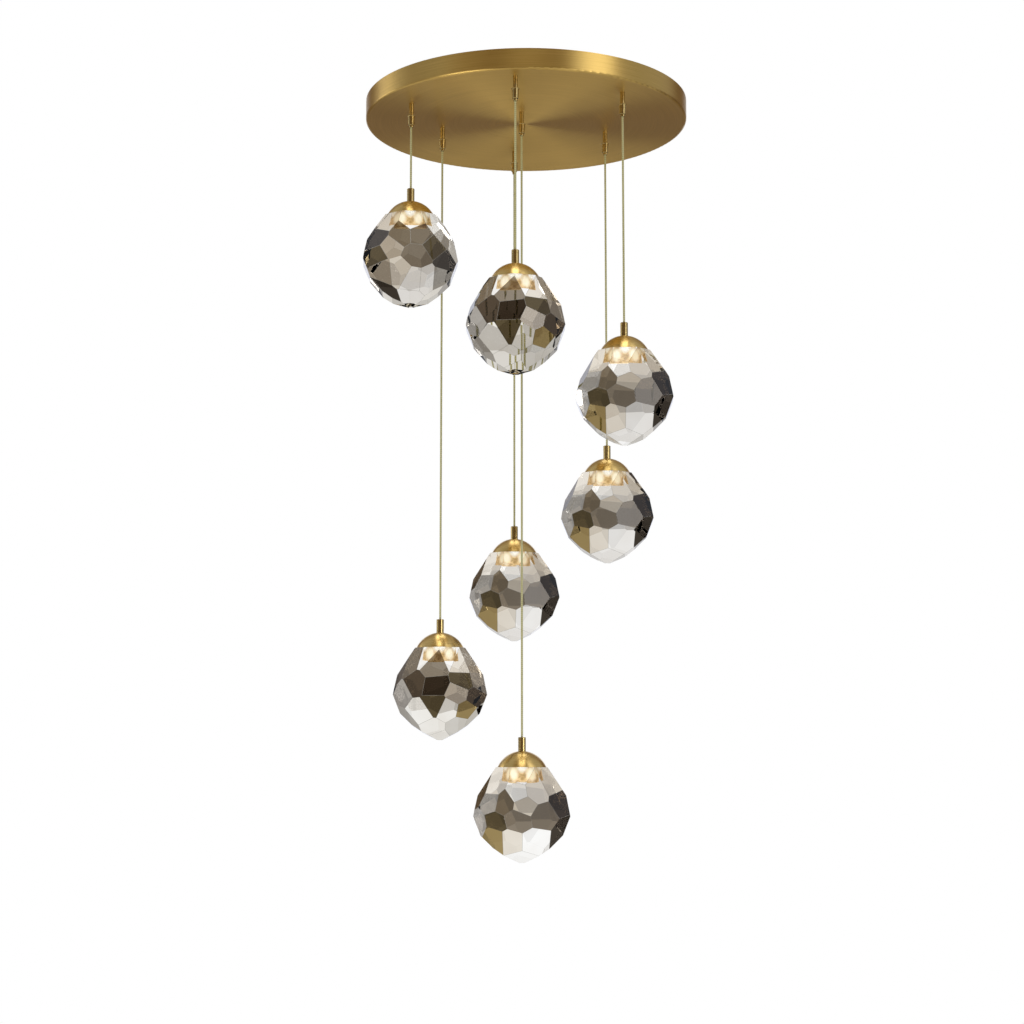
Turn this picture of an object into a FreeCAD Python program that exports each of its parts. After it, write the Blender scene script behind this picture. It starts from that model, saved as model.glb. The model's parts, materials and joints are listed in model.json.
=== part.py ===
# Cluster pendant: a round brass canopy with seven lit glass crystals on adjustable cables.
# Millimetres. The origin is the middle of the canopy's top plane, on the ceiling; +Z is up
# and the front is -Y. Each piece is drawn from its lowest face upwards, the crystal from its
# top face downwards.
import FreeCAD, Part
import math
import os

import Sketcher

Vector = FreeCAD.Vector
Rotation = FreeCAD.Rotation
Placement = FreeCAD.Placement
UP = Vector(0, 0, 1)

SIZES = {
    # canopy, a shallow drum pan with a flat underside
    "canopy_radius": 200.0,
    "canopy_depth": 25.0,
    "canopy_wall": 1.5,
    "canopy_edge": 2.5,
    # studs welded to the inside of the canopy, and their nuts
    "stud_radius": 2.0,
    "stud_length": 8.0,
    "stud_nut_height": 3.2,
    "stud_nut_radius": 4.0,
    "earth_stud_x": 62.0,
    "earth_stud_y": -34.0,
    # ceiling bracket, a bar with its ends turned down
    "bracket_width": 40.0,
    "bracket_thickness": 2.0,
    "bracket_tab": 18.0,
    "bracket_bend": 2.5,
    "bracket_gap": 1.5,
    "ceiling_hole_spacing": 100.0,
    "ceiling_hole_radius": 2.75,
    "ceiling_slot_length": 15.0,
    "wire_hole_x": 82.0,
    "wire_hole_radius": 9.0,
    # set screws that hold the canopy on the bracket
    "set_screw_radius": 2.5,
    "set_screw_length": 8.0,
    "set_screw_spread": 13.0,
    "set_screw_level": 12.0,
    "set_screw_sunk": 0.4,
    "hex_socket_radius": 1.4,
    "hex_socket_depth": 3.0,
    # driver, held on two studs by its ears
    "driver_inset": 55.0,
    "driver_length": 126.0,
    "driver_width": 40.0,
    "driver_height": 18.0,
    "driver_ear": 12.0,
    "driver_ear_thickness": 2.0,
    "driver_edge": 1.5,
    "driver_lead_x": 40.0,
    # terminal block under the middle of the bracket
    "block_length": 60.0,
    "block_width": 20.0,
    "block_height": 12.0,
    "port_pitch": 12.0,
    "port_radius": 1.6,
    "port_depth": 3.0,
    "clamp_screw_radius": 1.8,
    "clamp_screw_length": 4.0,
    "clamp_screw_inset": 6.0,
    "block_screw_radius": 1.5,
    "block_screw_head_radius": 2.8,
    "block_screw_head": 2.0,
    # clearances
    "screw_fit": 0.05,
    "running_fit": 0.05,
    "foot_fit": 0.1,
    "cable_gap": 0.3,
    "cable_fit": 0.1,
    "edge_break": 0.4,
    # cable and the leads inside the canopy
    "cable_radius": 1.25,
    "lead_level": 9.0,
    "lead_bend": 8.0,
    # grip: neck, tapered barrel that turns on it, release nose that is pushed up
    "neck_radius": 2.9,
    "neck_drop": 15.0,
    "neck_thread_radius": 2.5,
    "neck_thread_spare": 2.0,
    "neck_nut_height": 4.0,
    "neck_nut_radius": 5.2,
    "foot_radius": 3.3,
    "foot_thickness": 1.5,
    "barrel_radius": 4.3,
    "barrel_foot_radius": 3.7,
    "barrel_length": 12.5,
    "barrel_cap": 2.0,
    "barrel_lip": 1.5,
    "ring_radius": 4.8,
    "ring_height": 1.2,
    "nose_radius": 2.6,
    "nose_drop": 2.7,
    "nose_taper": 1.2,
    "nose_tip_radius": 2.45,
    "nose_flange": 1.2,
    "nose_flange_radius": 3.0,
    "nose_room": 6.5,
    "nose_flare": 0.5,
    "sway_point": 1.5,
    # stem and dome cap of a drop
    "stem_radius": 4.5,
    "stem_length": 16.5,
    "stem_thread_radius": 3.0,
    "stem_thread_length": 10.0,
    "dome_radius": 29.0,
    "dome_height": 18.7,
    "dome_wall": 1.0,
    "dome_seat_radius": 5.2,
    # holder, board and lens of the light
    "holder_radius": 25.5,
    "holder_thickness": 3.0,
    "boss_radius": 5.0,
    "thread_relief": 0.5,
    "board_radius": 13.0,
    "board_thickness": 1.6,
    "lens_radius": 11.5,
    "lens_crown": 3.5,
    "lens_edge": 0.8,
    # crystal: how far its outline reaches from its axis, at levels given as shares of its depth
    "crystal_depth": 111.0,
    "pocket_radius": 17.0,
    "pocket_depth": 22.0,
    "rim_reach": 29.0,
    "shoulder_level": 0.3,
    "shoulder_reach": 50.6,
    "waist_level": 0.51,
    "waist_reach": 55.2,
    "heel_level": 0.71,
    "heel_reach": 46.6,
    "toe_level": 0.89,
    "toe_reach": 25.4,
    "tip_reach": 2.0,
    # drops: place of each grip as shares of the canopy's radius, free cable from the grip's
    # mouth to the stem, and how the crystal is turned, in degrees
    "drop_1_x": -0.6995,
    "drop_1_y": -0.3875,
    "drop_1_hang": 76.6,
    "drop_1_turn": 3.0,
    "drop_2_x": -0.069,
    "drop_2_y": -0.877,
    "drop_2_hang": 178.4,
    "drop_2_turn": 180.0,
    "drop_3_x": 0.571,
    "drop_3_y": -0.5935,
    "drop_3_hang": 251.1,
    "drop_3_turn": -3.0,
    "drop_4_x": 0.5005,
    "drop_4_y": 0.1555,
    "drop_4_hang": 373.0,
    "drop_4_turn": -2.5,
    "drop_5_x": -0.0735,
    "drop_5_y": 0.56,
    "drop_5_hang": 463.5,
    "drop_5_turn": 1.0,
    "drop_6_x": -0.526,
    "drop_6_y": 0.0735,
    "drop_6_hang": 590.0,
    "drop_6_turn": 182.0,
    "drop_7_x": -0.0295,
    "drop_7_y": -0.233,
    "drop_7_hang": 734.3,
    "drop_7_turn": -1.0,
}

DROPS = range(1, 8)

# facets cut on one half of a crystal: bearing from the middle of that half in degrees, and
# level as a share of the crystal's depth
KITE_FACE = (
    (-4, 0.26), (18, 0.23), (3, 0.40), (0, 0.06), (-41, 0.17), (49, 0.15), (-72, 0.28),
    (54, 0.37), (-42, 0.37), (-21, 0.38), (27, 0.50), (-5, 0.53), (-34, 0.56), (-62, 0.56),
    (20, 0.77), (-17, 0.77), (-41, 0.72), (63, 0.65), (0, 0.97), (-90, 0.88), (90, 0.88))
BLADE_FACE = (
    (-10, 0.22), (32, 0.19), (56, 0.20), (-8, 0.43), (-32, 0.41), (-74, 0.27), (-53, 0.51),
    (24, 0.52), (47, 0.54), (-28, 0.70), (11, 0.69), (-8, 0.64), (38, 0.68), (34, 0.84),
    (-12, 0.87), (-69, 0.77), (71, 0.75), (0, 0.97), (-49, 0.14), (21, 0.05), (32, 0.37),
    (-25, 0.05), (56, 0.36))
SHADOW_FACE = (
    (-47, 0.31), (-42, 0.13), (-12, 0.32), (11, 0.31), (3, 0.12), (42, 0.14), (50, 0.29),
    (29, 0.45), (-26, 0.45), (-44, 0.52), (-18, 0.71), (-40, 0.68), (9, 0.54), (29, 0.77),
    (4, 0.79), (48, 0.58), (48, 0.72), (67, 0.40), (0, 0.95), (-62, 0.86), (78, 0.88))
SIDE_LEVELS = (0.15, 0.41, 0.61, 0.80, 0.95)

# the halves that each rock is cut with, front then back, and the rock of each drop
ROCKS = {"kite": (KITE_FACE, BLADE_FACE), "shadow": (SHADOW_FACE, KITE_FACE)}
DROP_ROCKS = {1: "shadow", 2: "kite", 3: "kite", 4: "kite", 5: "kite", 6: "kite", 7: "kite"}

# where each lead passes inside the canopy, between its grip and the block's port, as shares of
# the canopy's radius
LEAD_POINTS = {
    1: ((-0.56, -0.33), (-0.35, -0.31), (-0.17, -0.22), (-0.12, -0.14)),
    2: ((-0.09, -0.725), (-0.115, -0.5), (-0.1, -0.3), (-0.06, -0.15)),
    3: ((0.45, -0.5), (0.28, -0.38), (0.12, -0.26), (0.06, -0.14)),
    4: ((0.38, 0.1), (0.24, 0)),
    5: ((-0.06, 0.42), (-0.02, 0.25), (0, 0.14)),
    6: ((-0.4, 0.14), (-0.22, 0.19), (-0.09, 0.17), (-0.06, 0.12)),
    7: ((-0.01, -0.15), (0, -0.1)),
}
DRIVER_LEAD_POINTS = ((0.2, 0.535), (0.14, 0.38), (0.075, 0.23), (0.06, 0.13))

# the block's port for each lead: pitches from the middle, and the side of the block
PORTS = {
    1: (-2, "front"),
    2: (-1, "front"),
    7: (0, "front"),
    3: (1, "front"),
    6: (-1, "back"),
    5: (0, "back"),
    4: (0, "end"),
    "driver": (1, "back"),
}

# depths below the ceiling, and sums of sizes that several pieces share
BARREL_TOP = "canopy_depth + neck_drop"
BARREL_FOOT = BARREL_TOP + " + barrel_length"
NOSE_TIP = BARREL_FOOT + " + nose_drop"
NECK_FOOT = BARREL_TOP + " + barrel_cap + running_fit + foot_thickness"
BLOCK_FOOT = "bracket_thickness + block_height"
DRIVER_PLACE = "canopy_radius - driver_inset"
BRACKET_REACH = "canopy_radius - canopy_wall - bracket_gap"
STEM_HOLE = "stem_thread_radius + screw_fit"
SET_SCREW_HOLE = "set_screw_radius + screw_fit"
BLOCK_SCREW_HOLE = "block_screw_radius + screw_fit"
NECK_HOLE = "neck_radius + running_fit"
NOSE_HOLE = "nose_radius + running_fit"
FOOT_ROOM = "foot_radius + foot_fit"
FLANGE_ROOM = "nose_flange_radius + foot_fit"
CABLE_BORE = "cable_radius + cable_fit"
LEAD_BORE = "cable_radius + cable_gap"

doc = FreeCAD.newDocument("cluster_pendant")
sheet = doc.addObject("Spreadsheet::Sheet", "Sizes")
for row, (name, number) in enumerate(SIZES.items(), start=1):
    sheet.set("A%d" % row, name)
    sheet.set("B%d" % row, str(number))
    sheet.setAlias("B%d" % row, name)
doc.recompute()


def value_of(text):
    """The number for a size, or for sizes and numbers joined by + - * and /."""
    total = 0.0
    term = 1.0
    sign = 1.0
    divide = False
    for word in text.split():
        if word in ("+", "-"):
            total += sign * term
            term = 1.0
            sign = 1.0 if word == "+" else -1.0
        elif word in ("*", "/"):
            divide = word == "/"
        else:
            number = sheet.get(word) if word in SIZES else float(word)
            term = term / number if divide else term * number
            divide = False
    return total + sign * term


def sheet_text(text):
    """The same sum, written so that the document follows the sheet."""
    return " ".join("Sizes." + word if word in SIZES else word for word in text.split())


def minus(text):
    """The negative of a sum."""
    turned_signs = {"+": "-", "-": "+"}
    return "-1 * " + " ".join(turned_signs.get(word, word) for word in text.split())


def drop_level(number):
    """How far the top face of a drop's crystal is below the ceiling."""
    return NOSE_TIP + " + drop_%d_hang + stem_length + dome_height" % number


def place(item, x="0", y="0", down="0", turn=None):
    """Put a piece at x, y and a depth below the ceiling, keeping or turning its direction."""
    if turn is not None:
        item.Placement = Placement(Vector(), turn)
    item.setExpression("Placement.Base.x", sheet_text(x))
    item.setExpression("Placement.Base.y", sheet_text(y))
    item.setExpression("Placement.Base.z", sheet_text(minus(down)))
    return item


def drop_place(number):
    """Sums for where a drop's axis is."""
    return "canopy_radius * drop_%d_x" % number, "canopy_radius * drop_%d_y" % number


def at_drop(item, number, down):
    """Put a piece on a drop's axis."""
    return place(item, *drop_place(number), down)


def new_sketch(body, name, role):
    """An empty sketch on one of the body's own origin planes."""
    plane = [plane for plane in body.Origin.OriginFeatures if plane.Role == role][0]
    sketch = body.newObject("Sketcher::SketchObject", name)
    sketch.AttachmentSupport = [(plane, "")]
    sketch.MapMode = "FlatFace"
    return sketch


def hold(sketch, kind, places, text):
    """Add a dimension to a sketch and tie it to the sheet."""
    index = sketch.addConstraint(Sketcher.Constraint(kind, *places, value_of(text)))
    sketch.setExpression("Constraints[%d]" % index, sheet_text(text))


def pin(sketch, shape, point, x, y):
    """Fix a sketch point at x, y from the origin; a zero puts it on the axis."""
    for kind, text, axis in (("DistanceX", x, -2), ("DistanceY", y, -1)):
        if text == "0":
            sketch.addConstraint(Sketcher.Constraint("PointOnObject", shape, point, axis))
        else:
            hold(sketch, kind, (-1, 1, shape, point), text)


def axis_arc(start, end):
    """An arc from start to end with its centre on the sketch's vertical axis."""
    height = (start.x ** 2 + start.y ** 2 - end.x ** 2 - end.y ** 2) / (2 * (start.y - end.y))
    centre = Vector(0, height, 0)
    first = math.atan2(start.y - height, start.x)
    last = math.atan2(end.y - height, end.x)
    circle = Part.Circle(centre, UP, (start - centre).Length)
    if first < last:
        return Part.ArcOfCircle(circle, first, last), 1, 2
    return Part.ArcOfCircle(circle, last, first), 2, 1


def outline(sketch, corners):
    """Draw a closed outline; a third entry of "arc" bends the edge after that corner."""
    points = [Vector(value_of(corner[0]), value_of(corner[1]), 0) for corner in corners]
    edges = []
    for number, corner in enumerate(corners):
        start = points[number]
        end = points[(number + 1) % len(points)]
        if len(corner) == 3:
            curve, first, last = axis_arc(start, end)
        else:
            curve, first, last = Part.LineSegment(start, end), 1, 2
        edges.append((sketch.addGeometry(curve), first, last))
    for number, (edge, first, last) in enumerate(edges):
        following = edges[(number + 1) % len(edges)]
        sketch.addConstraint(Sketcher.Constraint("Coincident", edge, last, *following[:2]))
    for corner, (edge, first, last) in zip(corners, edges):
        pin(sketch, edge, first, corner[0], corner[1])
        if len(corner) == 3:
            sketch.addConstraint(Sketcher.Constraint("PointOnObject", edge, 3, -2))


def rectangle(x, y):
    """Corners of a rectangle that reaches x and y from the origin."""
    return [(minus(x), minus(y)), (x, minus(y)), (x, y), (minus(x), y)]


def circles(body, name, role, centres, radius):
    """A sketch of equal circles at (x, y) centres."""
    sketch = new_sketch(body, name, role)
    for x, y in centres:
        middle = Vector(value_of(x), value_of(y), 0)
        circle = sketch.addGeometry(Part.Circle(middle, UP, value_of(radius)))
        pin(sketch, circle, 3, x, y)
        hold(sketch, "Radius", (circle,), radius)
    return sketch


def slots(body, name, centres, length, radius):
    """A sketch of round-ended slots along X, at (x, y) centres."""
    sketch = new_sketch(body, name, "XY_Plane")
    reach = length + " / 2 - " + radius
    half_turn = math.pi / 2
    for x, y in centres:
        ends = []
        for side, end_x in ((1, x + " + " + reach), (-1, x + " - " + length + " / 2 + " + radius)):
            middle = Vector(value_of(end_x), value_of(y), 0)
            circle = Part.Circle(middle, UP, value_of(radius))
            first = -half_turn if side > 0 else half_turn
            end = sketch.addGeometry(Part.ArcOfCircle(circle, first, first + math.pi))
            pin(sketch, end, 3, end_x, y)
            hold(sketch, "Radius", (end,), radius)
            for point in (1, 2):
                sketch.addConstraint(Sketcher.Constraint("Vertical", end, point, end, 3))
            ends.append(end)
        for one, other in (ends, ends[::-1]):
            start = sketch.getPoint(one, 2)
            line = sketch.addGeometry(Part.LineSegment(start, sketch.getPoint(other, 1)))
            sketch.addConstraint(Sketcher.Constraint("Coincident", one, 2, line, 1))
            sketch.addConstraint(Sketcher.Constraint("Coincident", line, 2, other, 1))
    return sketch


def turned(name, corners):
    """A piece turned on a lathe from an outline of (radius, height) corners."""
    body = doc.addObject("PartDesign::Body", name)
    sketch = new_sketch(body, name + "_outline", "XZ_Plane")
    outline(sketch, corners)
    turning = body.newObject("PartDesign::Revolution", name + "_turning")
    turning.Profile = sketch
    turning.ReferenceAxis = (sketch, ["V_Axis"])
    turning.Angle = 360
    return body


def pad(body, name, sketch, length, both_ways=False):
    """Raise a sketch into a solid."""
    raised = body.newObject("PartDesign::Pad", name)
    raised.Profile = sketch
    raised.Midplane = both_ways
    raised.setExpression("Length", sheet_text(length))


def cut(body, name, sketch, length, both_ways=False):
    """Cut a sketch upwards into a body, and make sure that something came away."""
    doc.recompute()
    before = body.Shape.Volume
    pocket = body.newObject("PartDesign::Pocket", name)
    pocket.Profile = sketch
    pocket.Reversed = True
    pocket.Midplane = both_ways
    pocket.setExpression("Length", sheet_text(length))
    doc.recompute()
    if not body.Shape.Volume < before:
        raise RuntimeError(name + " cuts nothing")


def finish_edges(body, kind, size, chosen):
    """Round or bevel the edges of a body that the test picks."""
    doc.recompute()
    base = body.Tip
    picked = ["Edge%d" % number for number, edge in enumerate(base.Shape.Edges, start=1)
              if chosen(edge)]
    finish = body.newObject("PartDesign::" + kind, "%s_%s_%d" % (body.Name, kind, len(picked)))
    finish.Base = (base, picked)
    finish.setExpression("Radius" if kind == "Fillet" else "Size", sheet_text(size))


def near(one, other):
    return abs(one - other) < 0.01


def is_ring(edge, radius, height):
    """True for a round edge about the vertical axis."""
    curve = edge.Curve
    return (isinstance(curve, Part.Circle) and near(curve.Radius, value_of(radius))
            and near(curve.Center.z, value_of(height)))


def runs_along_y(edge, x, height):
    """True for an edge along Y at a distance x either side of the middle."""
    first, last = edge.Vertexes[0].Point, edge.Vertexes[-1].Point
    return (near(first.x, last.x) and near(abs(first.x), value_of(x))
            and near(first.z, last.z) and near(first.z, value_of(height)))


def group(name, members):
    """Several separate solids in one sub-part."""
    together = doc.addObject("Part::Compound", name)
    together.Links = members
    return together


def rod(name, radius, length):
    cylinder = doc.addObject("Part::Cylinder", name)
    cylinder.setExpression("Radius", sheet_text(radius))
    cylinder.setExpression("Height", sheet_text(length))
    return cylinder


def hex_bar(name, radius, length):
    bar = doc.addObject("Part::Prism", name)
    bar.Polygon = 6
    bar.setExpression("Circumradius", sheet_text(radius))
    bar.setExpression("Height", sheet_text(length))
    return bar


def without(name, base, tools):
    """The base with every tool cut out of it."""
    result = doc.addObject("Part::Cut", name)
    result.Base = base
    if len(tools) == 1:
        result.Tool = tools[0]
    else:
        result.Tool = doc.addObject("Part::MultiFuse", name + "_cuts")
        result.Tool.Shapes = tools
    return result


def hex_nut(name, radius, height, hole):
    return without(name, hex_bar(name + "_bar", radius, height), [rod(name + "_hole", hole, height)])


def stud_places():
    """Studs of the driver's two ears, then the earth stud."""
    reach = "driver_length / 2 + driver_ear / 2"
    return [(reach, DRIVER_PLACE), (minus(reach), DRIVER_PLACE), ("earth_stud_x", "earth_stud_y")]


def screw_places(level):
    """The set screws of one end, from the front and at a height."""
    return [("set_screw_spread", level), (minus("set_screw_spread"), level)]


def make_canopy():
    body = turned("canopy_pan", [
        ("0", "0"),
        ("canopy_radius", "0"),
        ("canopy_radius", "canopy_depth"),
        ("canopy_radius - canopy_wall", "canopy_depth"),
        ("canopy_radius - canopy_wall", "canopy_wall"),
        ("0", "canopy_wall")])
    finish_edges(body, "Fillet", "canopy_edge", lambda edge: is_ring(edge, "canopy_radius", "0"))
    studs = circles(body, "stud_circles", "XY_Plane", stud_places(), "stud_radius")
    pad(body, "studs", studs, "canopy_wall + stud_length")
    grips = [drop_place(number) for number in DROPS]
    holes = circles(body, "grip_holes", "XY_Plane", grips, "neck_thread_radius + screw_fit")
    cut(body, "grip_hole_cut", holes, "canopy_wall")
    places = screw_places("canopy_depth - set_screw_level")
    sides = circles(body, "side_holes", "YZ_Plane", places, SET_SCREW_HOLE)
    cut(body, "side_hole_cut", sides, "2 * canopy_radius", both_ways=True)
    return place(body, down="canopy_depth")


def make_bracket():
    body = doc.addObject("PartDesign::Body", "ceiling_bracket")
    inner = BRACKET_REACH + " - bracket_thickness"
    underside = "bracket_tab - bracket_thickness"
    side = new_sketch(body, "bracket_side", "XZ_Plane")
    outline(side, [
        (minus(BRACKET_REACH), "0"),
        (minus(inner), "0"),
        (minus(inner), underside),
        (inner, underside),
        (inner, "0"),
        (BRACKET_REACH, "0"),
        (BRACKET_REACH, "bracket_tab"),
        (minus(BRACKET_REACH), "bracket_tab")])
    pad(body, "bracket_bar", side, "bracket_width", both_ways=True)
    finish_edges(body, "Fillet", "bracket_bend",
                 lambda edge: runs_along_y(edge, inner, underside))
    finish_edges(body, "Fillet", "bracket_bend + bracket_thickness",
                 lambda edge: runs_along_y(edge, BRACKET_REACH, "bracket_tab"))
    ends = [("ceiling_hole_spacing / 2", "0"), (minus("ceiling_hole_spacing / 2"), "0")]
    ceiling = slots(body, "ceiling_slots", ends, "ceiling_slot_length", "ceiling_hole_radius")
    cut(body, "ceiling_slot_cut", ceiling, "bracket_tab")
    wires = [("wire_hole_x", "0"), (minus("wire_hole_x"), "0")]
    cut(body, "wire_hole_cut",
        circles(body, "wire_holes", "XY_Plane", wires, "wire_hole_radius"), "bracket_tab")
    cut(body, "block_hole_cut",
        circles(body, "block_hole", "XY_Plane", [("0", "0")], BLOCK_SCREW_HOLE), "bracket_tab")
    places = screw_places("bracket_tab - set_screw_level")
    cut(body, "tab_hole_cut",
        circles(body, "tab_holes", "YZ_Plane", places, SET_SCREW_HOLE),
        "2 * canopy_radius", both_ways=True)
    return place(body, down="bracket_tab")


def make_set_screws():
    screws = []
    outside = "sqrt( canopy_radius ^ 2 - set_screw_spread ^ 2 )"
    for side, end in ((1, "right"), (-1, "left")):
        for sign, spread in ((1, "set_screw_spread"), (-1, minus("set_screw_spread"))):
            label = "set_screw_%s_%s" % (end, "back" if sign > 0 else "front")
            socket = hex_bar(label + "_socket", "hex_socket_radius", "hex_socket_depth")
            socket.setExpression("Placement.Base.z",
                                 sheet_text("set_screw_length - hex_socket_depth"))
            shank = rod(label + "_shank", "set_screw_radius", "set_screw_length")
            screw = without(label, shank, [socket])
            reach = "%d * ( %s - set_screw_sunk - set_screw_length )" % (side, outside)
            place(screw, reach, spread, "set_screw_level", Rotation(Vector(0, 1, 0), 90 * side))
            screws.append(screw)
    return group("set_screws", screws)


def make_stud_nuts():
    nuts = []
    levels = ["canopy_depth - canopy_wall - driver_ear_thickness"] * 2
    levels.append("canopy_depth - canopy_wall")
    for count, ((x, y), level) in enumerate(zip(stud_places(), levels), start=1):
        hole = "stud_radius + screw_fit"
        nut = hex_nut("stud_nut_%d" % count, "stud_nut_radius", "stud_nut_height", hole)
        nuts.append(place(nut, x, y, level))
    return group("stud_nuts", nuts)


def make_driver():
    body = doc.addObject("PartDesign::Body", "led_driver")
    plate = new_sketch(body, "driver_plate", "XY_Plane")
    outline(plate, rectangle("driver_length / 2 + driver_ear", "driver_width / 2"))
    pad(body, "driver_ears", plate, "driver_ear_thickness")
    case = new_sketch(body, "driver_case", "XY_Plane")
    outline(case, rectangle("driver_length / 2", "driver_width / 2"))
    pad(body, "driver_box", case, "driver_height")
    top = "driver_height"
    finish_edges(body, "Chamfer", "driver_edge",
                 lambda edge: all(near(corner.Z, value_of(top)) for corner in edge.Vertexes))
    studs = [(x, "0") for x, y in stud_places()[:2]]
    cut(body, "ear_hole_cut",
        circles(body, "ear_holes", "XY_Plane", studs, "stud_radius + screw_fit"),
        "driver_ear_thickness")
    return place(body, y=DRIVER_PLACE, down="canopy_depth - canopy_wall")


def port_point(port, into="0"):
    """Sums for the middle of a port's mouth, or of a point that far into the block."""
    pitches, side = port
    if side == "end":
        return "block_length / 2 - " + into, "0"
    across = "%d * port_pitch" % pitches
    depth = "block_width / 2 - " + into
    return across, minus(depth) if side == "front" else depth


def make_block():
    box = doc.addObject("Part::Box", "block_box")
    for sheet_property, size in (("Length", "block_length"), ("Width", "block_width"),
                                 ("Height", "block_height")):
        box.setExpression(sheet_property, sheet_text(size))
    place(box, minus("block_length / 2"), minus("block_width / 2"), BLOCK_FOOT)
    inwards = {"front": Rotation(Vector(1, 0, 0), -90), "back": Rotation(Vector(1, 0, 0), 90),
               "end": Rotation(Vector(0, 1, 0), -90)}
    tools = []
    for name, port in PORTS.items():
        hole = rod("port_%s" % name, "port_radius", "port_depth")
        tools.append(place(hole, *port_point(port), "lead_level", inwards[port[1]]))
        screw_hole = rod("clamp_hole_%s" % name, "clamp_screw_radius + screw_fit",
                         "clamp_screw_length")
        tools.append(place(screw_hole, *port_point(port, "clamp_screw_inset"), BLOCK_FOOT))
    through = rod("block_screw_hole", BLOCK_SCREW_HOLE, "block_height")
    tools.append(place(through, down=BLOCK_FOOT))
    return without("terminal_block", box, tools)


def make_block_screws():
    screws = [turned("fixing_screw", [
        ("0", "0"),
        ("block_screw_head_radius", "0"),
        ("block_screw_head_radius", "block_screw_head"),
        ("block_screw_radius", "block_screw_head"),
        ("block_screw_radius", "block_screw_head + block_height + bracket_thickness"),
        ("0", "block_screw_head + block_height + bracket_thickness")])]
    place(screws[0], down=BLOCK_FOOT + " + block_screw_head")
    for name, port in PORTS.items():
        clamp = rod("clamp_screw_%s" % name, "clamp_screw_radius", "clamp_screw_length")
        screws.append(place(clamp, *port_point(port, "clamp_screw_inset"), BLOCK_FOOT))
    return group("block_screws", screws)


def bend_radius(before, corner, after):
    """As large as the two runs allow: 0.45 of the shorter one past the turn."""
    arriving = corner - before
    leaving = after - corner
    half_turn = arriving.getAngle(leaving) / 2
    return 0.45 * min(arriving.Length, leaving.Length) / math.tan(half_turn)


def lead_tube(name, points):
    """A round tube along straight runs joined by tangent arcs."""
    edges = []
    radii = []
    start = points[0]
    for before, corner, after in zip(points, points[1:], points[2:]):
        radius = min(bend_radius(before, corner, after), value_of("lead_bend")
                     if near(before.x, corner.x) and near(before.y, corner.y) else math.inf)
        back = (before - corner).normalize()
        ahead = (after - corner).normalize()
        half_turn = (corner - before).getAngle(after - corner) / 2
        reach = radius * math.tan(half_turn)
        first = corner + back * reach
        last = corner + ahead * reach
        bisector = (back + ahead).normalize()
        centre = corner + bisector * (radius / math.cos(half_turn))
        middle = centre - bisector * radius
        edges.append(Part.LineSegment(start, first).toShape())
        edges.append(Part.Arc(first, middle, last).toShape())
        radii.append(radius)
        start = last
    edges.append(Part.LineSegment(start, points[-1]).toShape())
    path = Part.Wire(edges)
    cable_radius = value_of("cable_radius")
    mouth = Part.Wire([Part.makeCircle(cable_radius, points[0], points[1] - points[0])])
    tube = path.makePipeShell([mouth], True, False)
    share = tube.Volume / (math.pi * cable_radius ** 2 * path.Length)
    print(name, "length %.0f" % path.Length, "volume share %.4f" % share, "radii",
          " ".join("%.0f" % radius for radius in radii))
    if not near(share, 1.0):
        raise RuntimeError(name + " is not a clean tube")
    return tube


def inside_point(shares):
    """A point that the leads pass, from its shares of the canopy's radius."""
    radius = value_of("canopy_radius")
    return Vector(shares[0] * radius, shares[1] * radius, -value_of("lead_level"))


def make_drop_leads():
    """Each cable's stretch from the grip's mouth up through the grip and to the block."""
    level = -value_of("lead_level")
    tubes = []
    for number in DROPS:
        x, y = map(value_of, drop_place(number))
        points = [Vector(x, y, value_of(minus(NOSE_TIP) + " + sway_point + cable_radius"))]
        points.append(Vector(x, y, level))
        points += [inside_point(point) for point in LEAD_POINTS[number]]
        points.append(Vector(*map(value_of, port_point(PORTS[number], "port_depth")), level))
        tubes.append(lead_tube("lead %d" % number, points))
    leads = doc.addObject("Part::Feature", "drop_leads")
    leads.Shape = Part.makeCompound(tubes)
    return leads


def make_driver_lead():
    level = -value_of("lead_level")
    x = value_of("driver_lead_x")
    points = [Vector(x, value_of(DRIVER_PLACE + " - driver_width / 2"), level)]
    points += [inside_point(point) for point in DRIVER_LEAD_POINTS]
    points.append(Vector(*map(value_of, port_point(PORTS["driver"], "port_depth")), level))
    lead = doc.addObject("Part::Feature", "driver_lead")
    lead.Shape = lead_tube("driver lead", points)
    return lead


def make_neck(number):
    shoulder = "foot_thickness + running_fit + barrel_cap + neck_drop"
    top = shoulder + " + canopy_wall + neck_nut_height + neck_thread_spare"
    neck = turned("grip_neck_%d" % number, [
        (LEAD_BORE, "0"),
        ("foot_radius", "0"),
        ("foot_radius", "foot_thickness"),
        ("neck_radius", "foot_thickness"),
        ("neck_radius", shoulder),
        ("neck_thread_radius", shoulder),
        ("neck_thread_radius", top + " - edge_break"),
        ("neck_thread_radius - edge_break", top),
        (LEAD_BORE, top)])
    return at_drop(neck, number, NECK_FOOT)


def make_neck_nut(number):
    nut = hex_nut("grip_nut_%d" % number, "neck_nut_radius", "neck_nut_height",
                  "neck_thread_radius + screw_fit")
    return at_drop(nut, number, "canopy_depth - canopy_wall")


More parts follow.
